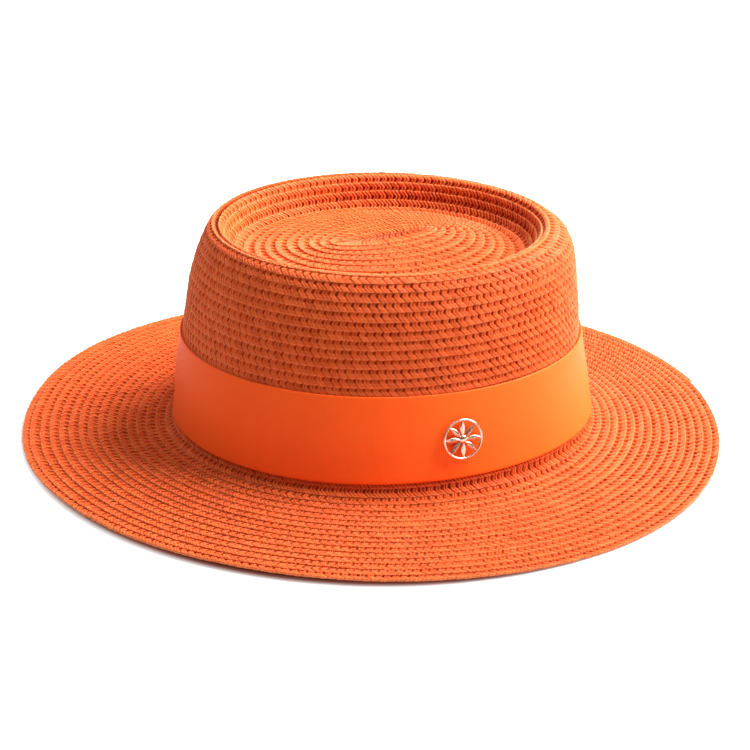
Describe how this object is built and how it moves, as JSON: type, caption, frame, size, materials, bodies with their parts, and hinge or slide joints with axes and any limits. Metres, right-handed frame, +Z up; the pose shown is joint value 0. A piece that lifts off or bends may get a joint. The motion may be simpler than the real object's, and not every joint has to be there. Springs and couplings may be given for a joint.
{
  "type": "straw hat with a ribbon band and a pin",
  "caption": "Low-crowned straw hat with a raised rim round a sunk oval top, a wide gently waved brim, a broad ribbon band and a small openwork pin.",
  "frame": {"origin": "on the floor below the middle of the hat's outline seen from above", "axes": "+Z up out of the crown's top, -Y towards the front of the hat, +X towards the wearer's left, where the pin is"},
  "size_m": [0.2996, 0.3328, 0.1054],
  "materials": {
    "straw_braid": "plaited paper straw dyed orange, matt with a faint sheen",
    "grosgrain": "fine ribbed grosgrain ribbon, deep orange, matt",
    "rose_gold": "polished pale rose gold plating"
  },
  "bodies": {
    "root": {"crown": "straw_braid", "brim": "straw_braid", "ribbon_band": "grosgrain", "pin_badge": "rose_gold", "pin_clutch": "rose_gold"}
  },
  "joints": []
}
